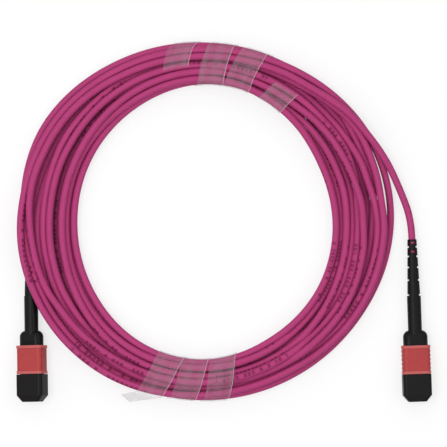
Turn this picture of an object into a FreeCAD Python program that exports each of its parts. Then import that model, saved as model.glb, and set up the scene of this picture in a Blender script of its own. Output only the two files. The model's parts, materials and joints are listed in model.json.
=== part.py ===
import FreeCAD
import Part
import Sketcher
import math
import os

# A multi-fibre push-on patch cable, laid in a flat coil that two film ties hold.
# Frame: +Z up from the surface it lies on, +X to the right of the coil, +Y away from the plugs.
# Each plug is drawn about its own axis: x is its width, y its thickness and z runs from the
# sleeve's front rim (z = 0) towards the cable.

SIZES = {
    "cable_diameter": 3.0,
    "slide_gap": 0.1,
    "seat_gap": 0.05,
    "cap_gap": 0.15,
    "film_gap": 0.3,
    "cap_width": 12.1,
    "cap_height": 8.0,
    "cap_corner": 1.6,
    "cap_length": 11.6,
    "cap_taper_length": 2.7,
    "cap_taper_side": 2.2,
    "cap_taper_face": 0.8,
    "cap_rim_gap": 0.2,
    "cap_floor_gap": 0.5,
    "sleeve_width": 12.1,
    "sleeve_height": 7.8,
    "sleeve_corner": 1.8,
    "sleeve_length": 12.0,
    "sleeve_wall": 0.55,
    "sleeve_rim_length": 1.2,
    "sleeve_rim_step": 0.2,
    "sleeve_lip_length": 4.0,
    "sleeve_travel": 3.0,
    "sleeve_stop_gap": 0.3,
    "grip_rib_length": 0.8,
    "grip_rib_pitch": 1.8,
    "grip_rib_proud": 0.15,
    "grip_rib_across": 4.0,
    "latch_slot_depth": 0.7,
    "latch_slot_across": 3.4,
    "nose_width": 9.4,
    "nose_height": 5.0,
    "nose_corner": 0.6,
    "nose_length": 8.5,
    "key_width": 3.0,
    "key_height": 0.7,
    "key_setback": 1.0,
    "latch_notch_depth": 0.5,
    "latch_notch_length": 2.0,
    "latch_notch_setback": 2.9,
    "cavity_width": 7.6,
    "cavity_height": 3.6,
    "ferrule_width": 6.4,
    "ferrule_height": 2.5,
    "ferrule_length": 8.0,
    "ferrule_proud": 0.4,
    "ferrule_flange_length": 2.4,
    "ferrule_flange_side": 0.45,
    "ferrule_flange_face": 0.3,
    "ferrule_travel": 0.8,
    "guide_hole_diameter": 0.7,
    "guide_hole_pitch": 4.6,
    "ribbon_width": 3.0,
    "ribbon_thickness": 0.32,
    "ferrule_boot_wall": 0.2,
    "ferrule_boot_height": 1.5,
    "ferrule_boot_length": 4.4,
    "ferrule_boot_proud": 0.7,
    "keeper_thickness": 1.8,
    "keeper_side_gap": 0.25,
    "spring_wire": 0.4,
    "spring_side_gap": 0.5,
    "spring_turns": 4,
    "side_spring_diameter": 0.9,
    "side_spring_wire": 0.18,
    "side_spring_turns": 5,
    "spigot_length": 4.8,
    "collar_length": 2.0,
    "collar_corner": 2.95,
    "collar_groove_width": 0.4,
    "collar_groove_depth": 0.25,
    "collar_groove_pitch": 0.85,
    "post_diameter": 3.6,
    "post_bore": 2.0,
    "post_length": 7.0,
    "bundle_width": 1.2,
    "bundle_thickness": 1.0,
    "crimp_wall": 0.35,
    "crimp_yarn_room": 0.2,
    "crimp_tail_length": 4.0,
    "boot_base_length": 4.4,
    "boot_base_round": 2.8,
    "boot_tube_diameter": 5.9,
    "boot_tube_length": 14.6,
    "boot_tail_start_diameter": 5.5,
    "boot_tail_end_diameter": 3.9,
    "boot_ring_length": 5.6,
    "boot_ring_ratio": 0.84,
    "boot_notch_length": 0.7,
    "boot_notch_depth": 0.7,
    "boot_window_across": 1.9,
    "boot_window_length": 0.9,
    "coil_centre_x": -8.42,
    "coil_centre_y": 1.2,
    "coil_outer_half_x": 79.8,
    "coil_outer_half_y": 75.7,
    "coil_inner_half_x": 54.3,
    "coil_inner_half_y": 58.3,
    "coil_height": 7.6,
    "coil_chamfer": 2.2,
    "coil_groove_gap": 0.3,
    "film_width": 10.8,
    "film_thickness": 0.15,
    "film_pitch_top": 15.0,
    "film_pitch_bottom": 13.0,
    "film_flap_length": 6.0,
    "film_flap_droop": 2.0,
    "plug_a_inside_rim": 7.0,
    "plug_a_y": -63.45,
    "plug_a_yaw": 1.0,
    "plug_a_pitch": 3.6,
    "plug_a_roll": -23.0,
    "plug_b_beyond_rim": 10.1,
    "plug_b_y": -63.45,
    "plug_b_yaw": 1.9,
    "plug_b_pitch": 1.0,
    "plug_b_roll": 3.0,
}

BOOT_RINGS = 5
WINDOWED_RINGS = 2
GRIP_RIBS = 5
COLLAR_GROOVES_A_SIDE = 4
SPRING_STEPS_PER_TURN = 12


class Size:
    """A size of the sheet, or one worked out from such sizes, with the text that binds a feature to it."""

    def __init__(self, text, value):
        self.text = text
        self.value = float(value)

    def __add__(self, other):
        other = as_size(other)
        return Size("(%s + %s)" % (self.text, other.text), self.value + other.value)

    def __sub__(self, other):
        other = as_size(other)
        return Size("(%s - %s)" % (self.text, other.text), self.value - other.value)

    def __mul__(self, other):
        other = as_size(other)
        return Size("(%s * %s)" % (self.text, other.text), self.value * other.value)

    def __truediv__(self, other):
        other = as_size(other)
        return Size("(%s / %s)" % (self.text, other.text), self.value / other.value)

    def __neg__(self):
        return Size("(0 - %s)" % self.text, -self.value)

    __radd__ = __add__
    __rmul__ = __mul__


def as_size(amount):
    """A plain number as a Size; a Size as it is."""
    if isinstance(amount, Size):
        return amount
    return Size(repr(float(amount)), amount)


def size(alias):
    """The size that the sheet keeps under this name."""
    return Size("Sizes." + alias, SIZES[alias])


doc = FreeCAD.newDocument("patch_cable")
sheet = doc.addObject("Spreadsheet::Sheet", "Sizes")
for row, (alias, number) in enumerate(SIZES.items(), start=1):
    sheet.set("A%d" % row, alias)
    sheet.set("B%d" % row, str(number))
    sheet.setAlias("B%d" % row, alias)
doc.recompute()

pieces = []


# Sketch and feature helpers

def bind(item, path, amount):
    """Tie one property of a feature to the sheet."""
    item.setExpression(path, as_size(amount).text)


def new_body(label):
    """An empty body that becomes the piece of this name."""
    body = doc.addObject("PartDesign::Body", label)
    body.Label = label
    return body


def origin_part(body, role):
    """One of the body's own origin planes or axes."""
    return [part for part in body.Origin.OriginFeatures if part.Role == role][0]


def sketch_at(body, station):
    """A sketch across the body's axis at this station."""
    sketch = body.newObject("Sketcher::SketchObject", body.Name + "_sketch")
    sketch.AttachmentSupport = [(origin_part(body, "XY_Plane"), "")]
    sketch.MapMode = "FlatFace"
    bind(sketch, "AttachmentOffset.Base.z", station)
    return sketch


def hold(sketch, kind, amount, *places):
    """Add one dimension to a sketch and tie it to the sheet."""
    amount = as_size(amount)
    index = sketch.addConstraint(Sketcher.Constraint(kind, *places, amount.value))
    sketch.setExpression("Constraints[%d]" % index, amount.text)


def draw_circle(sketch, diameter, centre_x=None, side=1):
    """A circle on the axis, or beside it on the x axis."""
    diameter = as_size(diameter)
    offset = centre_x.value * side if centre_x else 0.0
    circle = Part.Circle(FreeCAD.Vector(offset, 0, 0), FreeCAD.Vector(0, 0, 1), diameter.value / 2)
    index = sketch.addGeometry(circle)
    hold(sketch, "Diameter", diameter, index)
    if centre_x is None:
        sketch.addConstraint(Sketcher.Constraint("Coincident", index, 3, -1, 1))
        return
    sketch.addConstraint(Sketcher.Constraint("PointOnObject", index, 3, -1))
    if side > 0:
        hold(sketch, "DistanceX", centre_x, -1, 1, index, 3)
    else:
        hold(sketch, "DistanceX", centre_x, index, 3, -1, 1)


def draw_rounded(sketch, width, height, corner):
    """A rectangle with round corners, centred on the axis."""
    width, height, corner = as_size(width), as_size(height), as_size(corner)
    radius = corner.value
    reach_x = width.value / 2 - radius
    reach_y = height.value / 2 - radius
    centres = [(reach_x, reach_y), (-reach_x, reach_y), (-reach_x, -reach_y), (reach_x, -reach_y)]
    arcs = []
    for quarter, (x, y) in enumerate(centres):
        circle = Part.Circle(FreeCAD.Vector(x, y, 0), FreeCAD.Vector(0, 0, 1), radius)
        start = quarter * math.pi / 2
        arcs.append(sketch.addGeometry(Part.ArcOfCircle(circle, start, start + math.pi / 2)))
    ends = [
        ((reach_x, reach_y + radius), (-reach_x, reach_y + radius)),
        ((-reach_x - radius, reach_y), (-reach_x - radius, -reach_y)),
        ((-reach_x, -reach_y - radius), (reach_x, -reach_y - radius)),
        ((reach_x + radius, -reach_y), (reach_x + radius, reach_y)),
    ]
    lines = []
    for first, last in ends:
        segment = Part.LineSegment(FreeCAD.Vector(*first, 0), FreeCAD.Vector(*last, 0))
        lines.append(sketch.addGeometry(segment))
    top, left, bottom, right = lines
    for quarter in range(4):
        following = arcs[(quarter + 1) % 4]
        sketch.addConstraint(Sketcher.Constraint("Tangent", arcs[quarter], 2, lines[quarter], 1))
        sketch.addConstraint(Sketcher.Constraint("Tangent", lines[quarter], 2, following, 1))
    for flat in (top, bottom):
        sketch.addConstraint(Sketcher.Constraint("Horizontal", flat))
    for upright in (left, right):
        sketch.addConstraint(Sketcher.Constraint("Vertical", upright))
    for arc in arcs[1:]:
        sketch.addConstraint(Sketcher.Constraint("Equal", arcs[0], arc))
    sketch.addConstraint(Sketcher.Constraint("Symmetric", arcs[0], 3, arcs[2], 3, -1, 1))
    hold(sketch, "Radius", corner, arcs[0])
    hold(sketch, "DistanceX", width, left, 1, right, 1)
    hold(sketch, "DistanceY", height, bottom, 1, top, 1)


def draw_lines(sketch, corners, free=None):
    """Four straight lines round these corners, level or upright but for a free one; returns their numbers."""
    lines = []
    for number, corner in enumerate(corners):
        following = corners[(number + 1) % 4]
        segment = Part.LineSegment(FreeCAD.Vector(*corner, 0), FreeCAD.Vector(*following, 0))
        lines.append(sketch.addGeometry(segment))
    for number, line in enumerate(lines):
        following = lines[(number + 1) % 4]
        sketch.addConstraint(Sketcher.Constraint("Coincident", line, 2, following, 1))
        kind = "Horizontal" if number % 2 == 0 else "Vertical"
        if number != free:
            sketch.addConstraint(Sketcher.Constraint(kind, line))
    return lines


def draw_rectangle(sketch, width, height):
    """A sharp rectangle, centred on the axis."""
    width, height = as_size(width), as_size(height)
    x, y = width.value / 2, height.value / 2
    lines = draw_lines(sketch, [(-x, -y), (x, -y), (x, y), (-x, y)])
    sketch.addConstraint(Sketcher.Constraint("Symmetric", lines[0], 1, lines[2], 1, -1, 1))
    hold(sketch, "DistanceX", width, lines[0], 1, lines[0], 2)
    hold(sketch, "DistanceY", height, lines[1], 1, lines[1], 2)


def draw_beside(sketch, near, far, across, side):
    """A rectangle to one side of the axis, from near to far along x, level about the x axis."""
    near, far, across = as_size(near), as_size(far), as_size(across)
    first, last = sorted((side * near.value, side * far.value))
    half = across.value / 2
    lines = draw_lines(sketch, [(first, -half), (last, -half), (last, half), (first, half)], free=1)
    sketch.addConstraint(Sketcher.Constraint("Symmetric", lines[1], 1, lines[1], 2, -1))
    hold(sketch, "DistanceY", across, lines[1], 1, lines[1], 2)
    if side > 0:
        hold(sketch, "DistanceX", near, -1, 1, lines[0], 1)
        hold(sketch, "DistanceX", far, -1, 1, lines[0], 2)
    else:
        hold(sketch, "DistanceX", far, lines[0], 1, -1, 1)
        hold(sketch, "DistanceX", near, lines[0], 2, -1, 1)


def draw_above(sketch, near, far, across, side=1):
    """A rectangle above (or below) the axis, from near to far along y, even about the y axis."""
    near, far, across = as_size(near), as_size(far), as_size(across)
    first, last = sorted((side * near.value, side * far.value))
    half = across.value / 2
    lines = draw_lines(sketch, [(-half, first), (half, first), (half, last), (-half, last)], free=0)
    sketch.addConstraint(Sketcher.Constraint("Symmetric", lines[0], 1, lines[0], 2, -2))
    hold(sketch, "DistanceX", across, lines[0], 1, lines[0], 2)
    if side > 0:
        hold(sketch, "DistanceY", near, -1, 1, lines[1], 1)
        hold(sketch, "DistanceY", far, -1, 1, lines[1], 2)
    else:
        hold(sketch, "DistanceY", far, lines[1], 1, -1, 1)
        hold(sketch, "DistanceY", near, lines[1], 2, -1, 1)


def pad(body, start, end, draw):
    """Add what draw() outlines, from one station to another."""
    sketch = sketch_at(body, start)
    draw(sketch)
    feature = body.newObject("PartDesign::Pad", body.Name + "_pad")
    feature.Profile = sketch
    bind(feature, "Length", as_size(end) - start)
    body.Tip = feature
    return feature


def pocket(body, start, end, draw):
    """Cut what draw() outlines, from one station to another."""
    sketch = sketch_at(body, end)
    draw(sketch)
    feature = body.newObject("PartDesign::Pocket", body.Name + "_pocket")
    feature.Profile = sketch
    bind(feature, "Length", as_size(end) - start)
    body.Tip = feature
    return feature


def loft(body, start, end, draw_start, draw_end):
    """Add a straight taper between two outlines."""
    first = sketch_at(body, start)
    draw_start(first)
    last = sketch_at(body, end)
    draw_end(last)
    feature = body.newObject("PartDesign::AdditiveLoft", body.Name + "_taper")
    feature.Profile = first
    feature.Sections = [last]
    feature.Ruled = True
    body.Tip = feature
    return feature


def repeat(body, feature, pitch, count, axis="Z_Axis", backwards=False):
    """Repeat a feature along one of the body's axes."""
    doc.recompute()
    pattern = body.newObject("PartDesign::LinearPattern", body.Name + "_pattern")
    pattern.Originals = [feature]
    pattern.Direction = (origin_part(body, axis), [""])
    pattern.Reversed = backwards
    pattern.Occurrences = count
    bind(pattern, "Length", as_size(pitch) * (count - 1))
    body.Tip = pattern
    return pattern


def finish(item, label, placement):
    """Name a finished piece, put it in its place and list it."""
    doc.recompute()
    item.Label = label
    item.Placement = placement
    pieces.append(item)


# Stations along a plug's axis

gap = size("slide_gap")
cable_diameter = size("cable_diameter")
sleeve_end = size("sleeve_length")
lip_end = size("sleeve_lip_length")
nose_front = -size("nose_length")
ferrule_front = nose_front - size("ferrule_proud")
ferrule_rear = ferrule_front + size("ferrule_length")
flange_front = ferrule_rear - size("ferrule_flange_length")
shelf = flange_front - size("seat_gap")
keeper_rear = ferrule_rear + size("keeper_thickness")
block_front = lip_end + size("sleeve_travel") + size("sleeve_stop_gap")
collar_front = sleeve_end
collar_rear = collar_front + size("collar_length")
spigot_front = collar_front - size("spigot_length")
post_end = collar_rear + size("post_length")
crimp_end = post_end + size("crimp_tail_length")
base_end = collar_rear + size("boot_base_length")
tube_end = base_end + size("boot_tube_length")
cap_rear = -size("cap_rim_gap")
cap_front = cap_rear - size("cap_length")
cap_shoulder = cap_front + size("cap_taper_length")
cap_floor = ferrule_front - size("cap_floor_gap")

# Sections shared by pieces that fit one another

waist_width = size("sleeve_width") - 2 * size("sleeve_rim_step")
waist_height = size("sleeve_height") - 2 * size("sleeve_rim_step")
sleeve_inner_width = waist_width - 2 * size("sleeve_wall")
sleeve_inner_height = waist_height - 2 * size("sleeve_wall")
sleeve_inner_corner = size("sleeve_corner") - size("sleeve_wall")
block_width = sleeve_inner_width - 2 * gap
block_height = sleeve_inner_height - 2 * gap
half_nose_width = size("nose_width") / 2
half_nose_height = size("nose_height") / 2
key_top = half_nose_height + size("key_height")
slot_width = size("ribbon_width") + 2 * size("seat_gap")
slot_height = size("ribbon_thickness") + 2 * size("seat_gap")
rubber_width = slot_width + 2 * size("ferrule_boot_wall")
rubber_height = size("ferrule_boot_height")
side_spring_centre = sleeve_inner_width / 2 - gap - size("side_spring_diameter") / 2
side_channel_floor = sleeve_inner_width / 2 - 2 * gap - size("side_spring_diameter")
side_channel_across = size("side_spring_diameter") + 4 * gap
crimp_inner = size("post_diameter") + 2 * size("crimp_yarn_room")
crimp_outer = crimp_inner + 2 * size("crimp_wall")
jacket_hole = cable_diameter + 2 * gap
crimp_tail_inner = cable_diameter + gap
crimp_tail_outer = crimp_tail_inner + 2 * size("crimp_wall")


def tail_stations():
    """Start and end of each ring of the slotted tail, from the tube outwards."""
    stations = []
    start = tube_end
    length = size("boot_ring_length")
    for _ in range(BOOT_RINGS):
        start = start + size("boot_notch_length")
        stations.append((start, start + length))
        start = start + length
        length = length * size("boot_ring_ratio")
    return stations


tail_rings = tail_stations()
tail_end = tail_rings[-1][1]


# The pieces of one plug

def dust_cap():
    """Moulded cap over the plug's nose, tapered at its closed end."""
    body = new_body("dust_cap")
    width, height, corner = size("cap_width"), size("cap_height"), size("cap_corner")
    slim_width = width - 2 * size("cap_taper_side")
    slim_height = height - 2 * size("cap_taper_face")
    pad(body, cap_shoulder, cap_rear, lambda s: draw_rounded(s, width, height, corner))
    loft(body, cap_shoulder, cap_front,
         lambda s: draw_rounded(s, width, height, corner),
         lambda s: draw_rounded(s, slim_width, slim_height, corner))
    room = size("cap_gap")
    pocket(body, cap_floor, cap_rear,
           lambda s: draw_rectangle(s, size("nose_width") + 2 * room, size("nose_height") + 2 * room))
    pocket(body, cap_floor, cap_rear,
           lambda s: draw_above(s, half_nose_height, key_top + room, size("key_width") + 2 * room))
    return body


def plug_housing():
    """Inner housing: keyed nose with latch notches, spring channels and the ferrule's cavity."""
    body = new_body("plug_housing")
    pad(body, nose_front, collar_front,
        lambda s: draw_rounded(s, size("nose_width"), size("nose_height"), size("nose_corner")))
    pad(body, block_front, collar_front,
        lambda s: draw_rounded(s, block_width, block_height, sleeve_inner_corner))
    pad(body, nose_front + size("key_setback"), lip_end,
        lambda s: draw_above(s, half_nose_height / 2, key_top, size("key_width")))
    window_width = size("ferrule_width") + 2 * gap
    window_height = size("ferrule_height") + 2 * gap
    pocket(body, nose_front, collar_front, lambda s: draw_rectangle(s, window_width, window_height))
    pocket(body, shelf, collar_front,
           lambda s: draw_rectangle(s, size("cavity_width"), size("cavity_height")))
    notch_front = nose_front + size("latch_notch_setback")
    notch_rear = notch_front + size("latch_notch_length")
    notch_floor = half_nose_width - size("latch_notch_depth")
    for side in (1, -1):
        pocket(body, notch_front, notch_rear,
               lambda s: draw_beside(s, notch_floor, half_nose_width + gap, size("latch_slot_across"), side))
        pocket(body, lip_end, collar_front,
               lambda s: draw_beside(s, side_channel_floor, block_width, side_channel_across, side))
    return body


def coupling_sleeve():
    """Sliding sleeve with a rim at each end, grip ribs on its narrow sides and latch slots in its lip."""
    body = new_body("coupling_sleeve")
    rim = size("sleeve_rim_length")
    corner = size("sleeve_corner")
    whole = (size("sleeve_width"), size("sleeve_height"), corner)
    waist = (waist_width, waist_height, corner)
    pad(body, as_size(0), rim, lambda s: draw_rounded(s, *whole))
    pad(body, rim, sleeve_end - rim, lambda s: draw_rounded(s, *waist))
    pad(body, sleeve_end - rim, sleeve_end, lambda s: draw_rounded(s, *whole))
    rib_face = waist_width / 2 + size("grip_rib_proud")
    rib_root = waist_width / 2 - size("sleeve_wall") / 2
    ribs_span = (GRIP_RIBS - 1) * size("grip_rib_pitch") + size("grip_rib_length")
    rib_start = (sleeve_end - ribs_span) / 2

    def draw_ribs(sketch):
        for side in (1, -1):
            draw_beside(sketch, rib_root, rib_face, size("grip_rib_across"), side)

    rib = pad(body, rib_start, rib_start + size("grip_rib_length"), draw_ribs)
    repeat(body, rib, size("grip_rib_pitch"), GRIP_RIBS)
    pocket(body, lip_end, sleeve_end,
           lambda s: draw_rounded(s, sleeve_inner_width, sleeve_inner_height, sleeve_inner_corner))
    pocket(body, as_size(0), lip_end,
           lambda s: draw_rectangle(s, size("nose_width") + 2 * gap, size("nose_height") + 2 * gap))
    pocket(body, as_size(0), lip_end,
           lambda s: draw_above(s, half_nose_height, key_top + gap, size("key_width") + 2 * gap))
    slot_floor = half_nose_width + size("latch_slot_depth")
    latch_slot_end = lip_end / 2
    for side in (1, -1):
        pocket(body, as_size(0), latch_slot_end,
               lambda s: draw_beside(s, half_nose_width, slot_floor, size("latch_slot_across"), side))
    return body


def ferrule():
    """Rectangular fibre ferrule with a rear flange, two guide holes and a pocket for its rubber."""
    body = new_body("ferrule")
    width, height = size("ferrule_width"), size("ferrule_height")
    flange_width = width + 2 * size("ferrule_flange_side")
    flange_height = height + 2 * size("ferrule_flange_face")
    pad(body, ferrule_front, ferrule_rear, lambda s: draw_rectangle(s, width, height))
    pad(body, flange_front, ferrule_rear, lambda s: draw_rectangle(s, flange_width, flange_height))
    pocket_front = ferrule_rear + size("ferrule_boot_proud") - size("ferrule_boot_length") - gap
    pocket(body, pocket_front, ferrule_rear,
           lambda s: draw_rectangle(s, rubber_width + gap, rubber_height + gap))

    def draw_guides(sketch):
        for side in (1, -1):
            draw_circle(sketch, size("guide_hole_diameter"), size("guide_hole_pitch") / 2, side)

    pocket(body, ferrule_front, ferrule_rear, draw_guides)
    return body


def ferrule_boot():
    """Rubber that leads the ribbon into the ferrule."""
    body = new_body("ferrule_boot")
    rear = ferrule_rear + size("ferrule_boot_proud")
    front = rear - size("ferrule_boot_length")
    pad(body, front, rear, lambda s: draw_rectangle(s, rubber_width, rubber_height))
    pocket(body, front, rear, lambda s: draw_rectangle(s, slot_width, slot_height))
    return body


def pin_keeper():
    """Plate between the ferrule and its spring, open round the ribbon and notched behind the guide holes."""
    body = new_body("pin_keeper")
    width = size("cavity_width") - 2 * size("keeper_side_gap")
    height = size("cavity_height") - 2 * size("keeper_side_gap")
    pad(body, ferrule_rear, keeper_rear, lambda s: draw_rectangle(s, width, height))
    pocket(body, ferrule_rear, keeper_rear,
           lambda s: draw_rectangle(s, rubber_width + gap, rubber_height + gap))
    notch_floor = (size("guide_hole_pitch") - size("guide_hole_diameter")) / 2
    notch_across = size("guide_hole_diameter") + 2 * gap

    def draw_notches(sketch):
        for side in (1, -1):
            draw_beside(sketch, notch_floor, width, notch_across, side)

    pocket(body, ferrule_rear, keeper_rear, draw_notches)
    return body


def rear_body():
    """Spring stop inside the housing, the grooved collar behind it and the post under the crimp."""
    body = new_body("rear_body")
    pad(body, spigot_front, collar_front,
        lambda s: draw_rectangle(s, size("cavity_width") - 2 * gap, size("cavity_height") - 2 * gap))
    pad(body, collar_front, collar_rear,
        lambda s: draw_rounded(s, block_width, block_height, size("collar_corner")))
    pad(body, collar_rear, post_end, lambda s: draw_circle(s, size("post_diameter")))
    pocket(body, spigot_front, collar_front,
           lambda s: draw_rectangle(s, slot_width + 2 * gap, size("bundle_thickness") + 4 * gap))
    pocket(body, collar_front, post_end, lambda s: draw_circle(s, size("post_bore")))
    groove_floor = block_height / 2 - size("collar_groove_depth")

    def draw_grooves(sketch):
        for side in (1, -1):
            draw_above(sketch, groove_floor, block_height, size("collar_groove_width"), side)

    groove = pocket(body, collar_front, collar_rear, draw_grooves)
    for backwards in (False, True):
        repeat(body, groove, size("collar_groove_pitch"), COLLAR_GROOVES_A_SIDE, "X_Axis", backwards)
    return body


def crimp_ring():
    """Stepped metal ring: its wide end grips the yarn on the post, its slim end the jacket."""
    body = new_body("crimp_ring")
    start = collar_rear + gap
    pad(body, start, post_end + size("crimp_wall"), lambda s: draw_circle(s, crimp_outer))
    pad(body, post_end, crimp_end, lambda s: draw_circle(s, crimp_tail_outer))
    pocket(body, start, post_end, lambda s: draw_circle(s, crimp_inner))
    pocket(body, post_end, crimp_end, lambda s: draw_circle(s, crimp_tail_inner))
    return body


def strain_relief_boot():
    """Rubber boot: rounded base, round tube and a slim tail of rings that notches and windows free."""
    body = new_body("strain_relief_boot")
    base = pad(body, collar_rear, base_end,
               lambda s: draw_rounded(s, block_width, block_height, size("collar_corner")))
    doc.recompute()
    rim = []
    for number, edge in enumerate(base.Shape.Edges, start=1):
        if abs(edge.BoundBox.ZMin - base_end.value) < size("seat_gap").value:
            rim.append("Edge%d" % number)
    shoulder = body.newObject("PartDesign::Fillet", "boot_shoulder")
    shoulder.Base = (base, rim)
    bind(shoulder, "Radius", size("boot_base_round"))
    body.Tip = shoulder
    pad(body, collar_rear, tube_end, lambda s: draw_circle(s, size("boot_tube_diameter")))
    loft(body, tube_end, tail_end,
         lambda s: draw_circle(s, size("boot_tail_start_diameter")),
         lambda s: draw_circle(s, size("boot_tail_end_diameter")))
    pocket(body, collar_rear, crimp_end + gap, lambda s: draw_circle(s, crimp_outer + 2 * gap))
    pocket(body, crimp_end, tail_end, lambda s: draw_circle(s, jacket_hole))
    reach = size("boot_tube_diameter")
    narrowing = (size("boot_tail_start_diameter") - size("boot_tail_end_diameter")) / (tail_end - tube_end)
    for ring_start, ring_end in tail_rings:
        notch_start = ring_start - size("boot_notch_length")
        diameter = size("boot_tail_start_diameter") - narrowing * (notch_start - tube_end)
        web = diameter / 2 - size("boot_notch_depth")

        def draw_notch(sketch):
            for side in (1, -1):
                draw_beside(sketch, web, reach, reach, side)

        pocket(body, notch_start, ring_start, draw_notch)

    def draw_windows(sketch):
        for side in (1, -1):
            draw_above(sketch, cable_diameter / 4, reach, size("boot_window_across"), side)

    window_half = size("boot_window_length") / 2
    for ring_start, ring_end in tail_rings[-WINDOWED_RINGS:]:
        middle = (ring_start + ring_end) / 2
        pocket(body, middle - window_half, middle + window_half, draw_windows)
    return body


def fibre_ribbon():
    """The twelve fibres: a flat ribbon at the ferrule, drawn in to a bundle at the cable."""
    body = new_body("fibre_ribbon")
    front = ferrule_rear + size("ferrule_boot_proud") + size("ferrule_travel")
    front = front - size("ferrule_boot_length") + gap
    flat = (size("ribbon_width"), size("ribbon_thickness"))
    bundle = (size("bundle_width"), size("bundle_thickness"))
    pad(body, front, spigot_front, lambda s: draw_rectangle(s, *flat))
    loft(body, spigot_front, collar_front, lambda s: draw_rectangle(s, *flat),
         lambda s: draw_rectangle(s, *bundle))
    pad(body, collar_front, post_end, lambda s: draw_rectangle(s, *bundle))
    return body


def line(first, last):
    """A straight edge."""
    return Part.LineSegment(first, last).toShape()


def skinned_solid(rows):
    """A solid skinned over a row of four-cornered sections, closed at both ends."""
    first, last = rows[0], rows[-1]
    faces = [Part.makeRuledSurface(line(first[0], first[1]), line(first[3], first[2]))]
    for one, two in zip(rows, rows[1:]):
        for corner in range(4):
            following = (corner + 1) % 4
            faces.append(Part.makeRuledSurface(
                line(one[corner], one[following]), line(two[corner], two[following])))
    faces.append(Part.makeRuledSurface(line(last[0], last[1]), line(last[3], last[2])))
    shell = Part.makeShell(faces)
    shell.sewShape()
    solid = Part.makeSolid(Part.Shell(shell.Faces))
    if solid.Volume < 0:
        solid.reverse()
    return solid


def square_wire_spring(half_x, half_y, start, end, turns, wire):
    """A coil spring of square wire along an oval helix, seated between two stations."""
    side = wire / 2
    corners = [(-side, -side), (side, -side), (side, side), (-side, side)]
    steps = turns * SPRING_STEPS_PER_TURN
    rows = []
    for step in range(steps + 1):
        angle = step * 2 * math.pi / SPRING_STEPS_PER_TURN
        height = start + side + (end - start - wire) * step / steps
        section = []
        for outward, upward in corners:
            x = (half_x + outward) * math.cos(angle)
            y = (half_y + outward) * math.sin(angle)
            section.append(FreeCAD.Vector(x, y, height + upward))
        rows.append(section)
    return skinned_solid(rows)


def ferrule_spring():
    """Oval spring that presses the ferrule forward."""
    feature = doc.addObject("Part::Feature", "ferrule_spring")
    wire = size("spring_wire").value
    half_x = size("cavity_width").value / 2 - size("spring_side_gap").value - wire / 2
    half_y = size("cavity_height").value / 2 - size("spring_side_gap").value / 2 - wire / 2
    turns = int(SIZES["spring_turns"])
    feature.Shape = square_wire_spring(half_x, half_y, keeper_rear.value, spigot_front.value, turns, wire)
    return feature


def sleeve_springs():
    """The pair of small springs in the side channels that press the sleeve forward."""
    feature = doc.addObject("Part::Feature", "sleeve_springs")
    wire = size("side_spring_wire").value
    radius = (size("side_spring_diameter").value - wire) / 2
    turns = int(SIZES["side_spring_turns"])
    springs = []
    for side in (1, -1):
        spring = square_wire_spring(radius, radius, lip_end.value, collar_front.value, turns, wire)
        spring.translate(FreeCAD.Vector(side * side_spring_centre.value, 0, 0))
        springs.append(spring)
    feature.Shape = Part.makeCompound(springs)
    return feature


PLUG_PIECES = (
    dust_cap, plug_housing, coupling_sleeve, sleeve_springs, ferrule, ferrule_boot, pin_keeper,
    ferrule_spring, rear_body, crimp_ring, strain_relief_boot, fibre_ribbon,
)


# Where the plugs lie, beside the coil's left and right rims

coil_right = SIZES["coil_centre_x"] + SIZES["coil_outer_half_x"]


def resting_height(pitch, roll):
    """Height of the plug's axis at the sleeve's front rim when its lowest piece lies on the surface."""
    sections = (
        (cap_rear, size("cap_width"), size("cap_height"), size("cap_corner")),
        (sleeve_end, size("sleeve_width"), size("sleeve_height"), size("sleeve_corner")),
        (base_end, block_width, block_height, size("collar_corner")),
    )
    heights = []
    for station, width, height, corner in sections:
        reach = (width.value / 2 - corner.value) * abs(math.sin(roll))
        reach += (height.value / 2 - corner.value) * math.cos(roll) + corner.value
        heights.append(reach + station.value * math.sin(pitch))
    return max(heights)


def plug_placement(end):
    """Placement of one plug: lying on the surface, turned, a little nose up and rolled on its side."""
    yaw = math.radians(SIZES["plug_%s_yaw" % end])
    pitch = math.radians(SIZES["plug_%s_pitch" % end])
    roll = math.radians(SIZES["plug_%s_roll" % end])
    along, key_side, cableward = FreeCAD.Vector(1, 0, 0), FreeCAD.Vector(0, 0, -1), FreeCAD.Vector(0, 1, 0)
    lying = FreeCAD.Rotation(along, key_side, cableward, "XZY")
    turned = FreeCAD.Rotation(FreeCAD.Vector(0, 0, 1), math.degrees(yaw))
    nosed_up = FreeCAD.Rotation(FreeCAD.Vector(1, 0, 0), -math.degrees(pitch))
    rolled = FreeCAD.Rotation(FreeCAD.Vector(0, 1, 0), math.degrees(roll))
    if end == "a":
        x = SIZES["coil_centre_x"] - SIZES["coil_outer_half_x"] + SIZES["plug_a_inside_rim"]
    else:
        x = coil_right + SIZES["plug_b_beyond_rim"]
    place = FreeCAD.Vector(x, SIZES["plug_%s_y" % end], resting_height(pitch, roll))
    return FreeCAD.Placement(place, turned * nosed_up * rolled * lying)


for end in ("a", "b"):
    for make in PLUG_PIECES:
        finish(make(), "%s_%s" % (make.__name__, end), plug_placement(end))


# The cable: two leads and the coil

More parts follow.
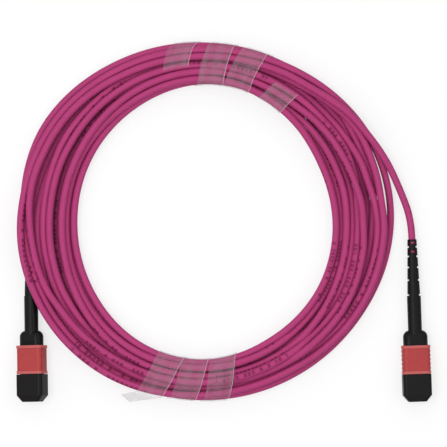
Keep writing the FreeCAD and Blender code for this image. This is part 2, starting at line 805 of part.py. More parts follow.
def rounded_path(points):
    """Straight runs joined by tangent arcs as large as the runs allow; prints the arcs' radii."""
    run_share = 0.45
    edges = []
    start = points[0]
    for before, corner, after in zip(points, points[1:], points[2:]):
        inward = (before - corner).normalize()
        outward = (after - corner).normalize()
        half_turn = (math.pi - inward.getAngle(outward)) / 2
        setback = run_share * min((before - corner).Length, (after - corner).Length)
        radius = setback / math.tan(half_turn)
        first = corner + inward * setback
        last = corner + outward * setback
        bisector = (inward + outward).normalize()
        middle = corner + bisector * (radius / math.cos(half_turn) - radius)
        edges.append(line(start, first))
        edges.append(Part.Arc(first, middle, last).toShape())
        start = last
        print("lead arc radius %.1f mm" % radius)
    edges.append(line(start, points[-1]))
    return Part.Wire(edges)


def cable_tube(label, path):
    """A length of cable along a path; prints its volume beside section times length."""
    start = path.Edges[0]
    heading = start.tangentAt(start.FirstParameter)
    radius = cable_diameter.value / 2
    circle = Part.makeCircle(radius, start.valueAt(start.FirstParameter), heading)
    tube = path.makePipeShell([Part.Wire([circle])], True, False)
    print("%s %.1f mm3 of %.1f" % (label, tube.Volume, math.pi * radius ** 2 * path.Length))
    feature = doc.addObject("Part::Feature", label)
    feature.Shape = tube
    finish(feature, label, FreeCAD.Placement())


def axis_point(end, station):
    """A point on a plug's axis, in the part's frame."""
    return plug_placement(end).multVec(FreeCAD.Vector(0, 0, station))


LEAD_A_OUT = 1.0
LEAD_B_OUT = 8.5
# Places past the coil's right rim, along +Y and above the surface
LEAD_B_ROUTE = (
    (3.9, 14.4, 3.9),
    (-2.9, 27.4, 4.9),
    (-10.8, 38.9, 5.6),
    (-19.9, 49.0, 5.9),
)

jacket_start = post_end.value + size("seat_gap").value
lead_a_end = axis_point("a", tail_end.value + LEAD_A_OUT)
lead_a_path = Part.Wire([line(axis_point("a", jacket_start), lead_a_end)])
cable_tube("lead_a", lead_a_path)

lead_b_points = [axis_point("b", jacket_start), axis_point("b", tail_end.value + LEAD_B_OUT)]
lead_b_points += [FreeCAD.Vector(coil_right + past, y, z) for past, y, z in LEAD_B_ROUTE]
cable_tube("lead_b", rounded_path(lead_b_points))

coil_bottom = size("film_gap") + size("film_thickness")


def draw_ellipse(sketch, half_x, half_y):
    """An ellipse about the sketch's origin, its axes level and upright."""
    long_half = max(half_x.value, half_y.value)
    short_half = min(half_x.value, half_y.value)
    is_wide = half_x.value >= half_y.value
    long_end = FreeCAD.Vector(long_half, 0, 0) if is_wide else FreeCAD.Vector(0, long_half, 0)
    short_end = FreeCAD.Vector(0, short_half, 0) if is_wide else FreeCAD.Vector(-short_half, 0, 0)
    index = sketch.addGeometry(Part.Ellipse(long_end, short_end, FreeCAD.Vector(0, 0, 0)))
    sketch.exposeInternalGeometry(index)
    sketch.addConstraint(Sketcher.Constraint("Coincident", index, 3, -1, 1))
    long_axis, short_axis = index + 1, index + 2
    sketch.addConstraint(Sketcher.Constraint("Horizontal" if is_wide else "Vertical", long_axis))
    hold(sketch, "Distance", 2 * (half_x if is_wide else half_y), long_axis)
    hold(sketch, "Distance", 2 * (half_y if is_wide else half_x), short_axis)


def cable_coil():
    """The coil's outer form: a flat oval ring, slimmer at its two ties, grooved over plug a's tail."""
    body = new_body("coil_ring")

    def draw_ring(sketch):
        draw_ellipse(sketch, size("coil_outer_half_x"), size("coil_outer_half_y"))
        draw_ellipse(sketch, size("coil_inner_half_x"), size("coil_inner_half_y"))

    ring = pad(body, coil_bottom, coil_bottom + size("coil_height"), draw_ring)
    doc.recompute()
    level = size("seat_gap").value
    rims = []
    for number, edge in enumerate(ring.Shape.Edges, start=1):
        if edge.BoundBox.ZLength < level:
            rims.append("Edge%d" % number)
    slope = body.newObject("PartDesign::Chamfer", "coil_slope")
    slope.Base = (ring, rims)
    bind(slope, "Size", size("coil_chamfer"))
    body.Tip = slope
    doc.recompute()
    body.Placement = FreeCAD.Placement(
        FreeCAD.Vector(SIZES["coil_centre_x"], SIZES["coil_centre_y"], 0), FreeCAD.Rotation())
    room = doc.addObject("Part::Cylinder", "tail_room")
    bind(room, "Radius", size("boot_tube_diameter") / 2 + size("coil_groove_gap"))
    bind(room, "Height", tail_end + LEAD_A_OUT - base_end)
    room.Placement = plug_placement("a").multiply(
        FreeCAD.Placement(FreeCAD.Vector(0, 0, base_end.value), FreeCAD.Rotation()))
    coil = doc.addObject("Part::Cut", "cable_coil")
    coil.Base = body
    coil.Tool = room
    return coil


finish(cable_coil(), "cable_coil", FreeCAD.Placement())


# The film ties: thin strips wound round the ring's eight-sided section

SECTION_CORNERS = (
    "top_outer", "top_inner", "hole_high", "hole_low",
    "base_inner", "base_outer", "rim_low", "rim_high",
)


def oval_radius(half_x, half_y, angle):
    """Distance from the ring's centre to an oval outline along a bearing."""
    return 1 / math.hypot(math.cos(angle) / half_x, math.sin(angle) / half_y)


def section_corner(name, angle, offset):
    """Radius and height of one corner of the ring's section, moved outwards by an offset."""
    outer = oval_radius(SIZES["coil_outer_half_x"], SIZES["coil_outer_half_y"], angle)
    inner = oval_radius(SIZES["coil_inner_half_x"], SIZES["coil_inner_half_y"], angle)
    chamfer = SIZES["coil_chamfer"]
    low = coil_bottom.value
    high = low + SIZES["coil_height"]
    slide = chamfer - offset * math.tan(math.pi / 8)
    corners = {
        "top_outer": (outer - slide, high + offset),
        "top_inner": (inner + slide, high + offset),
        "hole_high": (inner - offset, high - slide),
        "hole_low": (inner - offset, low + slide),
        "base_inner": (inner + slide, low - offset),
        "base_outer": (outer - slide, low - offset),
        "rim_low": (outer + offset, low + slide),
        "rim_high": (outer + offset, high - slide),
        "flap": (outer + SIZES["film_flap_length"], high + offset - SIZES["film_flap_droop"]),
    }
    return corners[name]


def ring_point(radius, height, angle):
    """A point of the ring in the part's frame."""
    return FreeCAD.Vector(
        SIZES["coil_centre_x"] + radius * math.cos(angle),
        SIZES["coil_centre_y"] + radius * math.sin(angle),
        height)


def strip_crossing(stop, bearing, offset):
    """The strip's two edge points where it crosses one stop, a corner or a place between two."""
    first, last, share = stop
    edge = []
    for side in (-1, 1):
        angle = bearing
        for _ in range(3):
            near = section_corner(first, angle, offset)
            far = section_corner(last, angle, offset)
            radius = near[0] + (far[0] - near[0]) * share
            angle = bearing + side * SIZES["film_width"] / 2 / radius
        height = near[1] + (far[1] - near[1]) * share
        edge.append(ring_point(radius, height, angle))
    return edge


def film_tie(label, stops, first_bearing, pitch):
    """A strip that winds on by one pitch a turn, from stop to stop."""
    middle_radius = (SIZES["coil_outer_half_y"] + SIZES["coil_inner_half_y"]) / 2
    step = pitch / middle_radius / len(SECTION_CORNERS)
    near, far = SIZES["film_gap"], SIZES["film_gap"] + SIZES["film_thickness"]
    rows = []
    for number, stop in enumerate(stops):
        bearing = first_bearing + number * step
        inside = strip_crossing(stop, bearing, near)
        outside = strip_crossing(stop, bearing, far)
        rows.append([inside[0], inside[1], outside[1], outside[0]])
    feature = doc.addObject("Part::Feature", label)
    feature.Shape = skinned_solid(rows)
    finish(feature, label, FreeCAD.Placement())


def winding(first_corner, count):
    """Corner stops in winding order, starting at a corner's number."""
    names = [SECTION_CORNERS[(first_corner + number) % len(SECTION_CORNERS)] for number in range(count)]
    return [(name, name, 0.0) for name in names]


TOP_TIE_BEARING = math.radians(62.0)
BOTTOM_TIE_BEARING = math.radians(249.5)
HALF_WAY = 0.5
TIE_TURNS = 3

top_stops = [("top_outer", "top_inner", HALF_WAY)]
top_stops += winding(1, TIE_TURNS * len(SECTION_CORNERS))
top_stops += [("top_outer", "top_inner", HALF_WAY)]
film_tie("film_tie_top", top_stops, TOP_TIE_BEARING, SIZES["film_pitch_top"])

bottom_stops = [("flap", "flap", 0.0)]
bottom_stops += winding(0, TIE_TURNS * len(SECTION_CORNERS) - 2)
film_tie("film_tie_bottom", bottom_stops, BOTTOM_TIE_BEARING, SIZES["film_pitch_bottom"])

# Test every object, then write the pieces

doc.recompute()
for item in doc.Objects:
    if "Invalid" in item.State or "Error" in item.State:
        raise RuntimeError("%s failed: %s" % (item.Label, item.State))
for item in pieces:
    shape = item.Shape
    if shape.isNull() or not shape.isValid() or not shape.Solids:
        raise RuntimeError("%s has no sound solid" % item.Label)

os.makedirs("parts", exist_ok=True)
for item in pieces:
    item.Shape.exportStep(os.path.join("parts", item.Label + ".step"))
print("%d pieces" % len(pieces))
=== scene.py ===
"""Looks of a multi-fibre patch cable: its coiled cord, its film ties and its two capped plugs."""

import bmesh
import bpy
import json
import logging
import math
from dataclasses import dataclass, field
from enum import Enum
from mathutils import Matrix, Vector, geometry


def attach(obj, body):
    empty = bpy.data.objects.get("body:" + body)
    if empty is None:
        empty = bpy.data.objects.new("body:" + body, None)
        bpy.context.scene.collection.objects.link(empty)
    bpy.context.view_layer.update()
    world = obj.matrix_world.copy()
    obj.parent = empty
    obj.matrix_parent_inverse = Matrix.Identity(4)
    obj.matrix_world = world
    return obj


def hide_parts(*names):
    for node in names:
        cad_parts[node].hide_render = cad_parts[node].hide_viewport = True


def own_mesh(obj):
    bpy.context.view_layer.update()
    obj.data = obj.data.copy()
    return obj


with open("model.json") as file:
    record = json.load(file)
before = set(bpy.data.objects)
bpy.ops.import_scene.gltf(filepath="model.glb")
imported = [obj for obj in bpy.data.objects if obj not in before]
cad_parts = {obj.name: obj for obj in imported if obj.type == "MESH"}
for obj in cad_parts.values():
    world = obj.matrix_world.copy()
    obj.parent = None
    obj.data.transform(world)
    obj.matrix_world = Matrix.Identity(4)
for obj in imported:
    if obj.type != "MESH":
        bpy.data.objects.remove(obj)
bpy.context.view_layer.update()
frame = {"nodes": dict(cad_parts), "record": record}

logging.basicConfig(level=logging.INFO, format="%(name)s: %(message)s")
LOG = logging.getLogger("patch_cable")

MM = 0.001
Pair = tuple[float, float]
Triple = tuple[float, float, float]
Colour = Triple
Material = bpy.types.Material
Socket = bpy.types.NodeSocket
Operand = Socket | float
Paint = Socket | Colour
WHOLE: Pair = (0.0, 1.0)
MOST_NOISE: Pair = (0.3, 0.7)


def screen_colour(red: int, green: int, blue: int) -> Colour:
    """Turn a colour as seen on a screen into the linear one that a shader takes.

    Args:
        red, green, blue: Channels from 0 to 255.

    Returns:
        The linear colour.
    """
    channels = []
    for channel in (red, green, blue):
        share = channel / 255
        channels.append(share / 12.92 if share <= 0.04045 else ((share + 0.055) / 1.055) ** 2.4)
    return tuple(channels)


def tinted(colour: Colour, factor: float) -> Colour:
    """A colour made lighter or darker by a factor."""
    return tuple(min(1.0, channel * factor) for channel in colour)


def put_in_scene(name: str, form: bmesh.types.BMesh, finish: Material) -> bpy.types.Object:
    """Turn a form into an object of the scene and let go of the form.

    Args:
        name: The object's name.
        form: The form.
        finish: Its material.

    Returns:
        The object.
    """
    mesh = bpy.data.meshes.new(name)
    form.to_mesh(mesh)
    form.free()
    mesh.materials.append(finish)
    thing = bpy.data.objects.new(name, mesh)
    bpy.context.scene.collection.objects.link(thing)
    return thing


class End(Enum):
    """The cord's two ends, by the letter that ends their nodes' names."""

    LEFT = "a"
    RIGHT = "b"


class NodeGraph:
    """A node tree, built up node by node."""

    def __init__(self, owner: Material | bpy.types.World) -> None:
        """Take on the tree of a material or of the world."""
        owner.use_nodes = True
        self.tree = owner.node_tree

    def feed(self, socket: Socket, value: object) -> None:
        """Link a socket to another node's output, or set it to a plain value.

        Args:
            socket: The socket.
            value: The output, or a number, vector or colour.
        """
        if isinstance(value, Socket):
            self.tree.links.new(value, socket)
        else:
            socket.default_value = value

    def add(self, kind: str, inputs: dict[str | int, object], **settings: object) -> bpy.types.NodeOutputs:
        """Add a node.

        Args:
            kind: The node's type, without its ShaderNode prefix.
            inputs: What to feed to its inputs, by their names or numbers.
            settings: Properties to set on it.

        Returns:
            The new node's outputs.
        """
        node = self.tree.nodes.new("ShaderNode" + kind)
        for key, value in settings.items():
            setattr(node, key, value)
        for key, value in inputs.items():
            self.feed(node.inputs[key], value)
        return node.outputs

    def math(self, operation: str, *operands: Operand) -> Socket:
        """Work out one sum of sockets or numbers."""
        return self.add("Math", dict(enumerate(operands)), operation=operation)[0]


class FinishGraph(NodeGraph):
    """The node tree of one finish, about its principled shader."""

    def __init__(self, name: str) -> None:
        """Start a material that has only its principled shader.

        Args:
            name: The material's name.
        """
        self.material = bpy.data.materials.new(name)
        super().__init__(self.material)
        self.shader = self.tree.nodes["Principled BSDF"]

    def set(self, name: str, value: object) -> None:
        """Feed one input of the principled shader."""
        self.feed(self.shader.inputs[name], value)

    def span(self, value: Operand, given: Pair, wanted: Pair = WHOLE) -> Socket:
        """Map a value from a given range to the wanted one, held at its ends."""
        return self.add("MapRange", dict(enumerate((value, *given, *wanted))))[0]

    def between(self, value: Operand, limits: Pair, border: float) -> Socket:
        """Give 1 where a value lies between two limits and 0 elsewhere, with soft borders.

        Args:
            value: The value's socket.
            limits: The limits.
            border: Width of each border.

        Returns:
            The mask's socket.
        """
        low, high = limits
        half = (high - low) / 2
        away = self.math("ABSOLUTE", self.math("SUBTRACT", value, (low + high) / 2))
        return self.span(away, (half + border / 2, half - border / 2))

    def noise(self, scale: float, detail: float = 2.0, stretch: Triple = (1.0, 1.0, 1.0)) -> Socket:
        """A noise in the object's own space.

        Args:
            scale: Features per metre.
            detail: Octaves.
            stretch: Factors along x, y and z.

        Returns:
            The noise's socket, about 0.5 on average.
        """
        place = self.add("TexCoord", {})["Object"]
        stretched = self.add("Mapping", {"Vector": place, "Scale": stretch})[0]
        return self.add("TexNoise", {"Vector": stretched, "Scale": scale, "Detail": detail})[0]

    def station(self, axis: "PlugAxis") -> Socket:
        """Distance behind a plug's nose, along its axis.

        Args:
            axis: The plug's axis.

        Returns:
            The distance's socket, in metres.
        """
        place = self.add("TexCoord", {})["Object"]
        away = self.add("VectorMath", {0: place, 1: axis.nose}, operation="SUBTRACT")[0]
        return self.add("VectorMath", {0: away, 1: axis.cableward}, operation="DOT_PRODUCT")["Value"]

    def mix(self, share: Operand, first: Paint, second: Paint) -> Socket:
        """Mix two colours, with this share of the second."""
        one, two = (paint if isinstance(paint, Socket) else (*paint, 1.0) for paint in (first, second))
        return self.add("Mix", {0: share, 6: one, 7: two}, data_type="RGBA")[2]

    def bump(self, height: Socket, depth: float, strength: float = 0.5) -> None:
        """Give the surface a fine relief of a depth in metres."""
        relief = self.add("Bump", {"Strength": strength, "Distance": depth, "Height": height})
        self.set("Normal", relief[0])


@dataclass(frozen=True)
class Grain:
    """A moulded surface: clouds of paler and deeper colour, and a fine eroded grain.

    Attributes:
        mottle: How much paler and deeper the clouds are.
        swing: How far the roughness goes up and down.
        cloud_range: The clouds' noise where they are deepest and palest.
    """

    roughness: float = 0.45
    mottle: float = 0.15
    specular: float = 0.5
    swing: float = 0.08
    clouds_per_metre: float = 260.0
    cloud_range: Pair = MOST_NOISE
    grain_per_metre: float = 2600.0
    depth: float = 0.03 * MM
    cloud_detail: float = 3.0

    def lay(self, graph: FinishGraph, colour: Colour) -> tuple[Socket, Socket]:
        """Give a finish its gloss and relief.

        Args:
            graph: The finish's node tree.
            colour: The surface's colour.

        Returns:
            The mottled colour and the grain.
        """
        cloud = graph.noise(self.clouds_per_metre, self.cloud_detail)
        grain = graph.noise(self.grain_per_metre)
        deep, pale = tinted(colour, 1 - self.mottle), tinted(colour, 1 + self.mottle)
        gloss = (self.roughness - self.swing, self.roughness + self.swing)
        graph.set("Roughness", graph.span(grain, MOST_NOISE, gloss))
        graph.set("Specular IOR Level", self.specular)
        graph.bump(grain, self.depth)
        return graph.mix(graph.span(cloud, self.cloud_range), deep, pale), grain


@dataclass(frozen=True)
class MouldedFinish:
    """Moulded plastic or rubber: a mottled colour with a fine eroded grain."""

    name: str
    colour: Colour
    grain: Grain = Grain()

    def build(self) -> Material:
        """Make the material.

        Returns:
            The material.
        """
        graph = FinishGraph(self.name)
        body, _ = self.grain.lay(graph, self.colour)
        graph.set("Base Color", body)
        return graph.material


@dataclass(frozen=True)
class MetalFinish:
    """Drawn or stamped metal with fine lines."""

    name: str
    colour: Colour
    roughness: Pair = (0.22, 0.4)
    tints: Pair = (0.85, 1.1)
    lines_per_metre: float = 3000.0
    line_stretch: Triple = (1.0, 0.08, 1.0)
    line_depth: float = 0.01 * MM

    def build(self) -> Material:
        """Make the material.

        Returns:
            The material.
        """
        graph = FinishGraph(self.name)
        lines = graph.noise(self.lines_per_metre, stretch=self.line_stretch)
        graph.set("Base Color", graph.mix(lines, *(tinted(self.colour, tint) for tint in self.tints)))
        graph.set("Roughness", graph.span(lines, MOST_NOISE, self.roughness))
        graph.set("Metallic", 1.0)
        graph.bump(lines, self.line_depth)
        return graph.material


@dataclass(frozen=True)
class JacketFinish:
    """The cable's jacket: satin plastic with rows of generic ink marks along it.

    Attributes:
        inked: Draws at which a mark is blank and is full.
        print_half: Half the print's height, as a share of the way round.
    """

    name: str
    colour: Colour
    ink: Colour
    cable_length: float
    grain: Grain = Grain(roughness=0.51, mottle=0.08, specular=0.08, swing=0.07, clouds_per_metre=120.0,
                         cloud_range=WHOLE, grain_per_metre=1800.0, depth=0.02 * MM)
    row_pitch: float = 62 * MM
    row_share: float = 0.55
    row_border: float = 0.01
    mark_pitch: float = 1.9 * MM
    mark_share: float = 0.72
    mark_border: float = 0.1
    inked: Pair = (0.25, 0.4)
    print_half: float = 0.09
    print_border: float = 0.02
    twist_scale: float = 9.0
    twist_turns: float = 3.0
    ink_strength: float = 0.6

    def marks(self, graph: FinishGraph) -> Socket:
        """Rows of short marks of differing strength, as jacket printing looks from a step away.

        Args:
            graph: The finish's node tree.

        Returns:
            The ink's mask.
        """
        onward, round_it, _ = graph.add("SeparateXYZ", {0: graph.add("TexCoord", {})["UV"]})
        along = graph.math("MULTIPLY", onward, self.cable_length)
        in_row = graph.math("FRACT", graph.math("DIVIDE", along, self.row_pitch))
        row = graph.between(in_row, (0.0, self.row_share), self.row_border)
        cell = graph.math("DIVIDE", along, self.mark_pitch)
        mark = graph.between(graph.math("FRACT", cell), (0.0, self.mark_share), self.mark_border)
        draw = graph.add("TexWhiteNoise", {"W": graph.math("FLOOR", cell)}, noise_dimensions="1D")
        inked = graph.span(draw["Value"], self.inked)
        twist = graph.add(
            "TexNoise", {"W": onward, "Scale": self.twist_scale, "Detail": 0.0}, noise_dimensions="1D"
        )
        turned = graph.math("ADD", round_it, graph.math("MULTIPLY", twist[0], self.twist_turns))
        band = (0.5 - self.print_half, 0.5 + self.print_half)
        mask = graph.between(graph.math("FRACT", turned), band, self.print_border)
        for share in (row, mark, inked, self.ink_strength):
            mask = graph.math("MULTIPLY", mask, share)
        return mask

    def build(self) -> Material:
        """Make the material.

        Returns:
            The material.
        """
        graph = FinishGraph(self.name)
        body, _ = self.grain.lay(graph, self.colour)
        graph.set("Base Color", graph.mix(self.marks(graph), body, self.ink))
        return graph.material


@dataclass(frozen=True)
class FilmFinish:
    """Clear stretch film: a grey veil with streaks along it, a pale taut edge and a fainter slack one.

    Attributes:
        taut_first: Whether the taut edge is the one at the lesser bearing.
        veil, streaks: Alpha and noise in the clear and in the dense streaks.
        edge_at: Where the pale edge sets in and is full, from the strip's middle line.
        side_at: Where one side starts and ends to give way to the other.
        flap_at: Turns at which the loose end's denser veil starts and ends to thin out.
    """

    name: str
    colour: Colour
    edge_colour: Colour
    taut_first: bool
    veil: Pair = (0.05625, 0.12)
    streaks: Pair = (0.35, 0.7)
    streaks_across: float = 3.0
    streaks_along: float = 1.5
    streak_scale: float = 1.2
    streak_depth: float = 0.1 * MM
    streak_strength: float = 0.35
    edge_alpha: float = 0.5
    edge_at: Pair = (0.465, 0.485)
    side_at: Pair = (0.45, 0.55)
    slack_edge: float = 0.42
    flap_alpha: float = 0.22
    flap_at: Pair = (0.02, 0.06)
    roughness: Pair = (0.28, 0.42)

    def build(self) -> Material:
        """Make the material.

        Returns:
            The material.
        """
        graph = FinishGraph(self.name)
        across = graph.add("Attribute", {}, attribute_name="across")["Fac"]
        along = graph.add("Attribute", {}, attribute_name="along")["Fac"]
        aside = graph.math("MULTIPLY", across, self.streaks_across)
        onward = graph.math("MULTIPLY", along, self.streaks_along)
        place = graph.add("CombineXYZ", {0: aside, 1: onward})[0]
        streaks = graph.add("TexNoise", {"Vector": place, "Scale": self.streak_scale})[0]
        from_middle = graph.math("ABSOLUTE", graph.math("SUBTRACT", across, 0.5))
        sides = (1.0, self.slack_edge) if self.taut_first else (self.slack_edge, 1.0)
        side = graph.span(across, self.side_at, sides)
        edge = graph.math("MULTIPLY", graph.span(from_middle, self.edge_at), side)
        flap = graph.span(along, self.flap_at, (self.flap_alpha, 0.0))
        body = graph.math("MAXIMUM", graph.span(streaks, self.streaks, self.veil), flap)
        graph.set("Base Color", graph.mix(edge, self.colour, self.edge_colour))
        graph.set("Alpha", graph.math("MAXIMUM", body, graph.math("MULTIPLY", edge, self.edge_alpha)))
        graph.set("Roughness", graph.span(streaks, MOST_NOISE, self.roughness))
        graph.bump(streaks, self.streak_depth, self.streak_strength)
        return graph.material


@dataclass(frozen=True)
class SleeveFinish:
    """The coloured sleeve: satin moulded plastic, painted paler on the rims at its ends, a painted
    highlight where their edges catch the light.
    """

    name: str
    colour: Colour
    rim_highlight_colour: Colour
    grain: Grain = Grain(roughness=0.42, mottle=0.1, specular=0.2, clouds_per_metre=300.0,
                         cloud_range=WHOLE)
    # Bands at the sleeve's two ends, painted paler as a painted highlight.
    highlight_rims: tuple[Pair, Pair] = ((8.4 * MM, 9.6 * MM), (19.4 * MM, 20.6 * MM))
    rim_border: float = 0.3 * MM
    painted_rim_highlight: Pair = (0.35, 0.9)

    def build(self, axis: "PlugAxis") -> Material:
        """Make the material for the sleeve on one axis.

        Args:
            axis: The plug's axis.

        Returns:
            The material.
        """
        graph = FinishGraph("%s_%s" % (self.name, axis.end.value))
        station = graph.station(axis)
        highlight_rims = graph.math("MAXIMUM", *(graph.between(station, rim, self.rim_border) for rim in self.highlight_rims))
        body, grain = self.grain.lay(graph, self.colour)
        # Painted highlight: the rims are painted paler where their edges would catch the light, broken up
        # by the grain.
        painted_rim_highlight = graph.math("MULTIPLY", highlight_rims, graph.span(grain, MOST_NOISE, self.painted_rim_highlight))
        graph.set("Base Color", graph.mix(painted_rim_highlight, body, self.rim_highlight_colour))
        return graph.material


@dataclass(frozen=True)
class Turn:
    """One turn of the coil as it lies, told every thirty degrees from the right and on over the far side.

    Attributes:
        radii: Distances from the coil's middle, in millimetres.
        levels: One digit for each, for its place in the pile; 0 lies lowest.
    """

    radii: tuple[float, ...]
    levels: str


LAY = (
    Turn((86.0, 78.1, 72.1, 70.9, 71.9, 74.4, 73.3, 70.4, 67.8, 66.4, 65.1, 65.1), "777777777773"),
    Turn((63.7, 65.8, 66.6, 67.6, 67.3, 65.9, 65.0, 64.9, 66.0, 66.8, 67.7, 68.0), "356666642466"),
    Turn((65.2, 63.4, 62.7, 64.3, 63.8, 61.9, 60.9, 62.6, 64.4, 63.8, 62.3, 60.2), "666666666666"),
    Turn((58.3, 59.3, 59.6, 60.9, 59.2, 57.5, 56.3, 56.8, 58.5, 58.5, 56.0, 55.3), "554444444455"),
    Turn((54.6, 54.7, 58.3, 61.5, 60.9, 60.6, 59.6, 60.6, 61.4, 60.6, 58.9, 57.4), "555555555554"),
    Turn((56.8, 57.4, 61.5, 63.8, 66.0, 68.1, 70.8, 72.8, 72.3, 70.9, 70.4, 70.0), "122222111111"),
    Turn((70.2, 74.3, 75.3, 76.0, 78.4, 81.3, 78.6, 75.9, 74.2, 73.0, 73.2, 75.0), "111335332331"),
    Turn((78.2, 78.4, 75.2, 74.0, 75.5, 78.3, 80.2, 78.9, 75.7, 71.9, 70.9, 73.6), "236666665666"),
    Turn((74.6, 74.2, 69.9, 70.0, 69.5, 69.1, 68.0, 68.2, 70.6, 69.6, 68.5, 70.9), "655155534222"),
    Turn((72.2, 69.1, 68.5, 67.0, 65.1, 63.8, 63.0, 63.8, 63.0, 62.1, 61.3, 62.3), "441111111112"),
    Turn((61.0, 61.7, 64.7, 62.6, 62.1, 59.6, 58.1, 59.6, 60.4, 59.6, 58.3, 60.0), "211111111111"),
    Turn((67.5, 70.6, 72.4, 73.0, 72.4, 72.0, 74.6), "0000000"),
)


@dataclass
class PlugAxis:
    """The line that a plug's pieces are built about, read from its nose mount."""

    end: End
    nose: Vector = field(init=False)
    cableward: Vector = field(init=False)
    tail: float = field(init=False)

    def __post_init__(self) -> None:
        """Read the axis from the record, and the boot's far end from its node."""
        name = "plug_nose_" + self.end.value
        mount = next(m for m in frame["record"]["mounts"] if m["name"] == name)
        self.nose = Vector(mount["pos_m"])
        self.cableward = -Vector(mount["axis"])
        boot = frame["nodes"]["strain_relief_boot_" + self.end.value]
        self.tail = max((v.co - self.nose).dot(self.cableward) for v in boot.data.vertices)

    def at(self, distance: float) -> Vector:
        """A point on the axis, this far behind the nose."""
        return self.nose + self.cableward * distance


@dataclass
class PatchCord:
    """The cable itself: one length from the left plug's boot, round the coil and into the right boot.

    Attributes:
        first_station: Where the coil takes over from the right plug's lead.
        open_stations: Where the outermost turn stands off from the others.
        left_end, right_end: Points of the cord's ends on the plugs' axes, from the boots' far ends.
        boot_reach: The left boot's radius where turns lie on it.
        side_by_side: Distance at which two neighbours hide the surface between them.
        rim_ease: How readily the innermost and outermost turns give way.
    """

    left: PlugAxis
    right: PlugAxis
    diameter: float = 3.0 * MM
    length: float = 5.0
    middle: Vector = field(default_factory=lambda: Vector((-7.29 * MM, -0.28 * MM, 0.0)))
    film_room: float = 0.2 * MM
    step_degrees: float = 7.5
    first_station: int = 8
    open_stations: tuple[int, ...] = (0, 1, 2, 3)
    left_end: Triple = (-22.0 * MM, -8.0 * MM, 1.0 * MM)
    right_end: Triple = (8.5 * MM, -8.0 * MM, -22.0 * MM)
    boot_reach: float = 2.4 * MM
    side_by_side: float = 2.6 * MM
    rounds: int = 60
    snug_rounds: int = 10
    pull: float = 0.7
    rim_ease: float = 0.02
    steps_along: int = 6
    steps_round: int = 5
    lead_route: tuple[Triple, ...] = (
        (0.0746, 0.0143, 0.0039),
        (0.0686, 0.0272, 0.0058),
        (0.0601, 0.0387, 0.0079),
        (0.0512, 0.0487, 0.0088),
    )
    centreline: list[Vector] = field(default_factory=list)

    @property
    def floor(self) -> float:
        """Lowest height of the cord's centre."""
        return self.diameter / 2 + self.film_room

    def lay(self) -> tuple[list[float], list[float]]:
        """Spread the turns' readings to the coil's own stations.

        Returns:
            Radii in metres and levels, station by station, from the right plug's lead to the left plug.
        """
        radii = [radius * MM for turn in LAY for radius in turn.radii]
        levels = [float(digit) for turn in LAY for digit in turn.levels]
        for _ in range(2):
            radii, levels = self.filled_in(radii), self.filled_in(levels)
        return self.closed_up(radii, levels), levels

    @property
    def a_turn(self) -> int:
        """Stations in one turn."""
        return round(360 / self.step_degrees)

    @staticmethod
    def filled_in(values: list[float]) -> list[float]:
        """Put one smooth value between each pair of neighbours, by the rule of four points.

        Args:
            values: The values.

        Returns:
            The values with those between them.
        """
        filled = []
        last = len(values) - 1
        for number in range(last):
            before = values[max(number - 1, 0)]
            here, following = values[number], values[number + 1]
            after = values[min(number + 2, last)]
            filled += [here, (9 * (here + following) - before - after) / 16]
        return filled + [values[-1]]

    def closed_up(self, radii: list[float], levels: list[float]) -> list[float]:
        """Draw the turns together where the surface would show between them; the low ones give most.

        Args:
            radii: Distances from the coil's middle.
            levels: Order in the pile.

        Returns:
            The radii as the turns then lie.
        """
        moved = [0.0] * len(radii)
        for number in range(self.rounds):
            if number < self.rounds - self.snug_rounds:
                moved = self.eased(moved)
            for station in range(self.a_turn):
                for ahead in (0, 1):
                    self.draw_in(radii, levels, moved, station, ahead)
        return [radius + offset for radius, offset in zip(radii, moved)]

    def draw_in(
        self, radii: list[float], levels: list[float], moved: list[float], station: int, ahead: int
    ) -> None:
        """Draw the turns together at a station or half way to the next one.

        Args:
            radii: Distances from the coil's middle.
            levels: Order in the pile.
            moved: How far each station has been drawn, which is changed.
            station: The station.
            ahead: 0 for the station itself, 1 for half way to the next.
        """
        met = range(station, len(radii) - ahead, self.a_turn)
        ends = {n: {n, n + ahead} for n in met if n > self.first_station}
        place = {n: sum(radii[k] + moved[k] for k in pair) / len(pair) for n, pair in ends.items()}
        turns = sorted(ends, key=place.get)
        ease = {n: 1 / (1 + max(levels[n], 0.0)) for n in turns}
        ease[turns[0]] = ease[turns[-1]] = self.rim_ease
        if station in self.open_stations:
            turns.pop()
        for inner, outer in zip(turns, turns[1:]):
            gap = place[outer] - place[inner] - self.side_by_side
            if gap > 0.0:
                share = ease[inner] / (ease[inner] + ease[outer])
                step = self.pull * gap
                for turn, shift in ((inner, step * share), (outer, -step * (1 - share))):
                    place[turn] += shift
                    for end in ends[turn]:
                        moved[end] += shift

    def boot_under(self, degrees: float) -> list[Triple]:
        """Where the left plug's boot lies under the turns round a bearing.

        Args:
            degrees: The bearing.

        Returns:
            Its radius, its height and the distance that a turn keeps from it, at places near the bearing.
        """
        start = self.left.nose - self.middle
        run = self.left.cableward
        places = []
        for part in (-0.5, -0.25, 0.0, 0.25, 0.5):
            bearing = math.radians(degrees + part * self.step_degrees)
            out = Vector((math.cos(bearing), math.sin(bearing), 0.0))
            distance = (start.y * out.x - start.x * out.y) / (run.x * out.y - run.y * out.x)
            point = start + run * distance
            if 0.0 < distance < self.left.tail and point.dot(out) > 0.0:
                places.append((point.dot(out), point.z, self.boot_reach + self.diameter / 2))
        return places

    @staticmethod
    def perch(radius: float, height: float, piled: list[Triple]) -> float:
        """The lowest height at which a turn clears what is piled under it.

        Args:
            radius: The turn's distance from the coil's middle.
            height: The height below which it can't go.
            piled: Radius, height and distance to keep of each thing under it.

        Returns:
            The height of the turn's centre.
        """
        for other, top, reach in piled:
            apart = abs(radius - other)
            if apart < reach:
                height = max(height, top + math.sqrt(reach ** 2 - apart ** 2))
        return height

